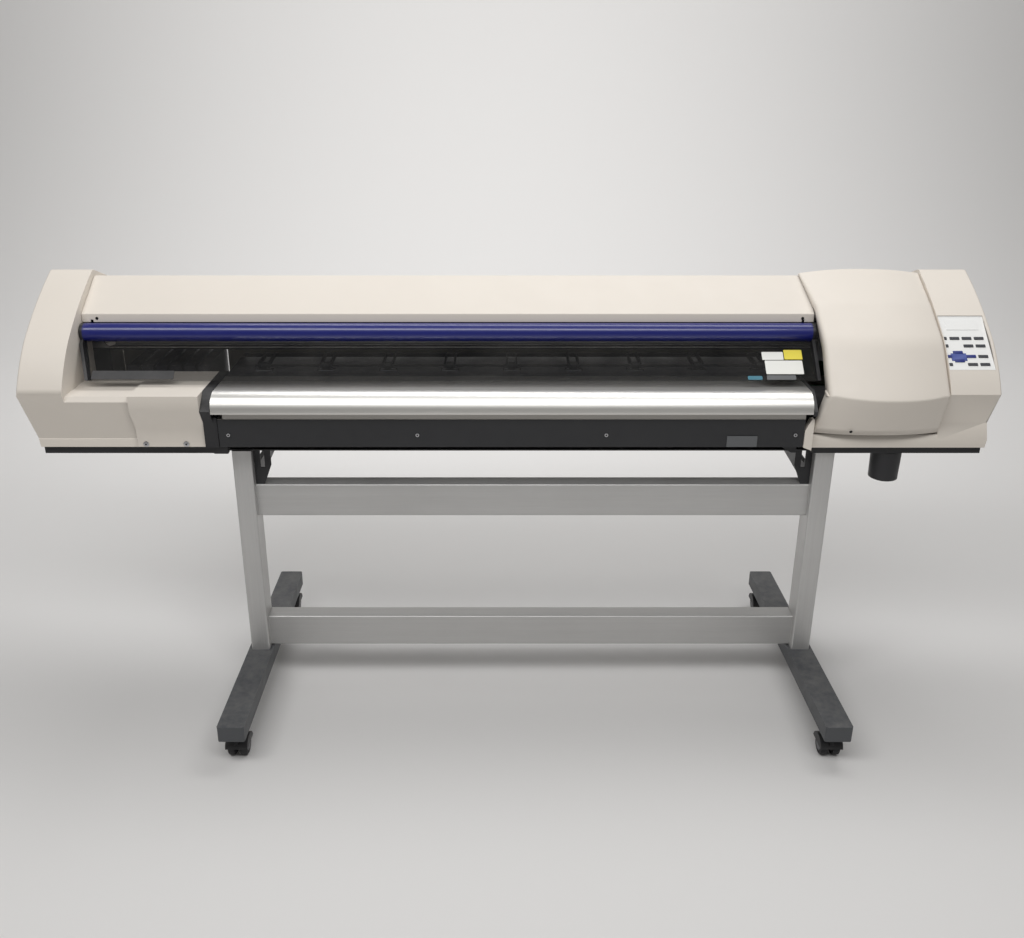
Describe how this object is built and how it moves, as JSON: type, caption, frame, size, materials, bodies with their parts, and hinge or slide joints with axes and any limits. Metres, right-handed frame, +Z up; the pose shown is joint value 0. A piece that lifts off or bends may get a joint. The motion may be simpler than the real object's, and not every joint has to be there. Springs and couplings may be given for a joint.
{
  "type": "wide-format inkjet printer and vinyl cutter",
  "caption": "Floor-standing wide-format print-and-cut machine with a hinged smoked cover, front apron, control panel and a two-legged stand on casters.",
  "frame": {"origin": "on the floor, under the middle of the machine's width and of its feet", "axes": "+X to the operator's right along the media width, -Y towards the operator, +Z up"},
  "size_m": [2.311, 0.74, 1.1],
  "materials": {
    "belt_rubber": "moulded",
    "black_plastic": "moulded",
    "blue_bar": "deep gloss",
    "board_green": "lacquered",
    "bright_apron": "brushed",
    "carriage_grey": "moulded",
    "charcoal_rail": "satin",
    "chassis_steel": "plated",
    "cream_cover": "fine moulded texture",
    "dark_platen": "anodised",
    "foot_paint": "satin",
    "ink_plastic": "moulded",
    "key_blue": "membrane",
    "key_grey": "membrane",
    "panel_white": "membrane",
    "rubber_roller": "ground",
    "screw_steel": "plated",
    "smoked_window": "smoked acrylic",
    "stand_aluminium": "satin anodised",
    "steel_roller": "grit coated",
    "wheel_nylon": "moulded"
  },
  "bodies": {
    "frame": {"apron": "bright_apron", "apron_ends": "black_plastic", "capping_station": "carriage_grey", "chassis": "chassis_steel", "control_panel": "panel_white", "drain_bottle": "black_plastic", "drive_belt": "belt_rubber", "electronics": "board_green", "front_rail": "charcoal_rail", "guide_rail": "stand_aluminium", "ink_cartridges": "ink_plastic", "left_end_cover": "cream_cover", "left_foot": "foot_paint", "left_leg": "stand_aluminium", "left_service_cover": "cream_cover", "lower_crossbeam": "stand_aluminium", "motors": "carriage_grey", "platen": "dark_platen", "rear_cover": "cream_cover", "right_end_cover": "cream_cover", "right_foot": "foot_paint", "right_leg": "stand_aluminium", "screws": "screw_steel", "stand_brackets": "black_plastic", "top_cover": "cream_cover", "upper_crossbeam": "stand_aluminium"},
    "front_cover": {"cover_grip_bar": "blue_bar", "cover_window": "smoked_window", "cover_end_caps": "black_plastic"},
    "carriage_hood": {"carriage_hood": "cream_cover"},
    "print_carriage": {"print_carriage": "carriage_grey"},
    "tool_carriage": {"tool_carriage": "carriage_grey"},
    "blade_holder": {"blade_holder": "stand_aluminium"},
    "drive_pulley": {"drive_pulley": "stand_aluminium"},
    "idler_pulley": {"idler_pulley": "stand_aluminium"},
    "grit_rollers": {"grit_rollers": "steel_roller"},
    "pinch_arms": {"pinch_arms": "charcoal_rail"},
    "pinch_rollers": {"pinch_rollers": "rubber_roller"},
    "loading_lever": {"loading_lever": "black_plastic"},
    "media_roll_shaft": {"media_roll_shaft": "stand_aluminium"},
    "panel_key_01": {"panel_key_01": "key_grey"},
    "panel_key_02": {"panel_key_02": "key_grey"},
    "panel_key_03": {"panel_key_03": "key_grey"},
    "panel_key_04": {"panel_key_04": "key_grey"},
    "panel_key_05": {"panel_key_05": "key_grey"},
    "panel_key_06": {"panel_key_06": "key_grey"},
    "panel_key_07": {"panel_key_07": "key_grey"},
    "panel_key_08": {"panel_key_08": "key_grey"},
    "panel_key_09": {"panel_key_09": "key_grey"},
    "panel_key_10": {"panel_key_10": "key_grey"},
    "panel_key_11": {"panel_key_11": "key_grey"},
    "cursor_cross_key": {"cursor_cross_key": "key_blue"},
    "caster_front_left_fork": {"caster_front_left_fork": "black_plastic"},
    "caster_front_left_wheels": {"caster_front_left_wheels": "wheel_nylon"},
    "caster_front_right_fork": {"caster_front_right_fork": "black_plastic"},
    "caster_front_right_wheels": {"caster_front_right_wheels": "wheel_nylon"},
    "caster_rear_left_fork": {"caster_rear_left_fork": "black_plastic"},
    "caster_rear_left_wheels": {"caster_rear_left_wheels": "wheel_nylon"},
    "caster_rear_right_fork": {"caster_rear_right_fork": "black_plastic"},
    "caster_rear_right_wheels": {"caster_rear_right_wheels": "wheel_nylon"}
  },
  "joints": [
    {"name": "front_cover_hinge", "type": "hinge", "parent": "frame", "child": "front_cover", "pos_m": [0, 0.05, 0.966], "axis": [-1, 0, 0], "range_deg": [0, 75]},
    {"name": "carriage_hood_hinge", "type": "hinge", "parent": "frame", "child": "carriage_hood", "pos_m": [0.894, 0.171, 1.0785], "axis": [-1, 0, 0], "range_deg": [0, 60]},
    {"name": "print_carriage_slide", "type": "slide", "parent": "frame", "child": "print_carriage", "axis": [1, 0, 0], "range_m": [-1.62, 0]},
    {"name": "tool_carriage_slide", "type": "slide", "parent": "frame", "child": "tool_carriage", "axis": [1, 0, 0], "range_m": [-1.62, 0]},
    {"name": "blade_holder_slide", "type": "slide", "parent": "tool_carriage", "child": "blade_holder", "axis": [0, 0, 1], "range_m": [-0.004, 0], "stiffness_N_per_m": 400, "springref_m": 0.004},
    {"name": "drive_pulley_spin", "type": "hinge", "parent": "frame", "child": "drive_pulley", "pos_m": [1.01, 0.124, 0.925], "axis": [0, 1, 0], "continuous": true},
    {"name": "idler_pulley_spin", "type": "hinge", "parent": "frame", "child": "idler_pulley", "pos_m": [-1.01, 0.124, 0.925], "axis": [0, 1, 0], "continuous": true},
    {"name": "grit_roller_spin", "type": "hinge", "parent": "frame", "child": "grit_rollers", "pos_m": [0, 0.095, 0.8462], "axis": [1, 0, 0], "continuous": true},
    {"name": "pinch_arm_lift", "type": "hinge", "parent": "frame", "child": "pinch_arms", "pos_m": [0, 0.168, 0.872], "axis": [-1, 0, 0], "range_deg": [0, 4]},
    {"name": "pinch_roller_spin", "type": "hinge", "parent": "pinch_arms", "child": "pinch_rollers", "pos_m": [0, 0.095, 0.8665], "axis": [1, 0, 0], "continuous": true},
    {"name": "loading_lever_swing", "type": "hinge", "parent": "frame", "child": "loading_lever", "pos_m": [0.69, 0.258, 0.985], "axis": [-1, 0, 0], "range_deg": [0, 18]},
    {"name": "media_roll_spin", "type": "hinge", "parent": "frame", "child": "media_roll_shaft", "pos_m": [0.062, 0.305, 0.622], "axis": [1, 0, 0], "continuous": true},
    {"name": "panel_key_01_press", "type": "slide", "parent": "frame", "child": "panel_key_01", "axis": [0, 0.6828, -0.7306], "range_m": [0, 0.0008], "stiffness_N_per_m": 250},
    {"name": "panel_key_02_press", "type": "slide", "parent": "frame", "child": "panel_key_02", "axis": [0, 0.6828, -0.7306], "range_m": [0, 0.0008], "stiffness_N_per_m": 250},
    {"name": "panel_key_03_press", "type": "slide", "parent": "frame", "child": "panel_key_03", "axis": [0, 0.6828, -0.7306], "range_m": [0, 0.0008], "stiffness_N_per_m": 250},
    {"name": "panel_key_04_press", "type": "slide", "parent": "frame", "child": "panel_key_04", "axis": [0, 0.6828, -0.7306], "range_m": [0, 0.0008], "stiffness_N_per_m": 250},
    {"name": "panel_key_05_press", "type": "slide", "parent": "frame", "child": "panel_key_05", "axis": [0, 0.6828, -0.7306], "range_m": [0, 0.0008], "stiffness_N_per_m": 250},
    {"name": "panel_key_06_press", "type": "slide", "parent": "frame", "child": "panel_key_06", "axis": [0, 0.6828, -0.7306], "range_m": [0, 0.0008], "stiffness_N_per_m": 250},
    {"name": "panel_key_07_press", "type": "slide", "parent": "frame", "child": "panel_key_07", "axis": [0, 0.6828, -0.7306], "range_m": [0, 0.0008], "stiffness_N_per_m": 250},
    {"name": "panel_key_08_press", "type": "slide", "parent": "frame", "child": "panel_key_08", "axis": [0, 0.6828, -0.7306], "range_m": [0, 0.0008], "stiffness_N_per_m": 250},
    {"name": "panel_key_09_press", "type": "slide", "parent": "frame", "child": "panel_key_09", "axis": [0, 0.6828, -0.7306], "range_m": [0, 0.0008], "stiffness_N_per_m": 250},
    {"name": "panel_key_10_press", "type": "slide", "parent": "frame", "child": "panel_key_10", "axis": [0, 0.6828, -0.7306], "range_m": [0, 0.0008], "stiffness_N_per_m": 250},
    {"name": "panel_key_11_press", "type": "slide", "parent": "frame", "child": "panel_key_11", "axis": [0, 0.6828, -0.7306], "range_m": [0, 0.0008], "stiffness_N_per_m": 250},
    {"name": "cursor_cross_key_press", "type": "slide", "parent": "frame", "child": "cursor_cross_key", "axis": [0, 0.6828, -0.7306], "range_m": [0, 0.0008], "stiffness_N_per_m": 250},
    {"name": "caster_front_left_swivel", "type": "hinge", "parent": "frame", "child": "caster_front_left_fork", "pos_m": [-0.658, -0.326, 0.077], "axis": [0, 0, 1], "continuous": true},
    {"name": "caster_front_left_spin", "type": "hinge", "parent": "caster_front_left_fork", "child": "caster_front_left_wheels", "pos_m": [-0.658, -0.312, 0.025], "axis": [1, 0, 0], "continuous": true},
    {"name": "caster_front_right_swivel", "type": "hinge", "parent": "frame", "child": "caster_front_right_fork", "pos_m": [0.782, -0.326, 0.077], "axis": [0, 0, 1], "continuous": true},
    {"name": "caster_front_right_spin", "type": "hinge", "parent": "caster_front_right_fork", "child": "caster_front_right_wheels", "pos_m": [0.782, -0.312, 0.025], "axis": [1, 0, 0], "continuous": true},
    {"name": "caster_rear_left_swivel", "type": "hinge", "parent": "frame", "child": "caster_rear_left_fork", "pos_m": [-0.658, 0.326, 0.077], "axis": [0, 0, 1], "continuous": true},
    {"name": "caster_rear_left_spin", "type": "hinge", "parent": "caster_rear_left_fork", "child": "caster_rear_left_wheels", "pos_m": [-0.658, 0.34, 0.025], "axis": [1, 0, 0], "continuous": true},
    {"name": "caster_rear_right_swivel", "type": "hinge", "parent": "frame", "child": "caster_rear_right_fork", "pos_m": [0.782, 0.326, 0.077], "axis": [0, 0, 1], "continuous": true},
    {"name": "caster_rear_right_spin", "type": "hinge", "parent": "caster_rear_right_fork", "child": "caster_rear_right_wheels", "pos_m": [0.782, 0.34, 0.025], "axis": [1, 0, 0], "continuous": true}
  ],
  "couplings": [
    {"joint": "tool_carriage_slide", "follows": "print_carriage_slide", "ratio": 1},
    {"joint": "drive_pulley_spin", "follows": "print_carriage_slide", "rad_per_m": 71.429},
    {"joint": "idler_pulley_spin", "follows": "print_carriage_slide", "rad_per_m": 71.429},
    {"joint": "pinch_arm_lift", "follows": "loading_lever_swing", "ratio": 0.22222}
  ]
}
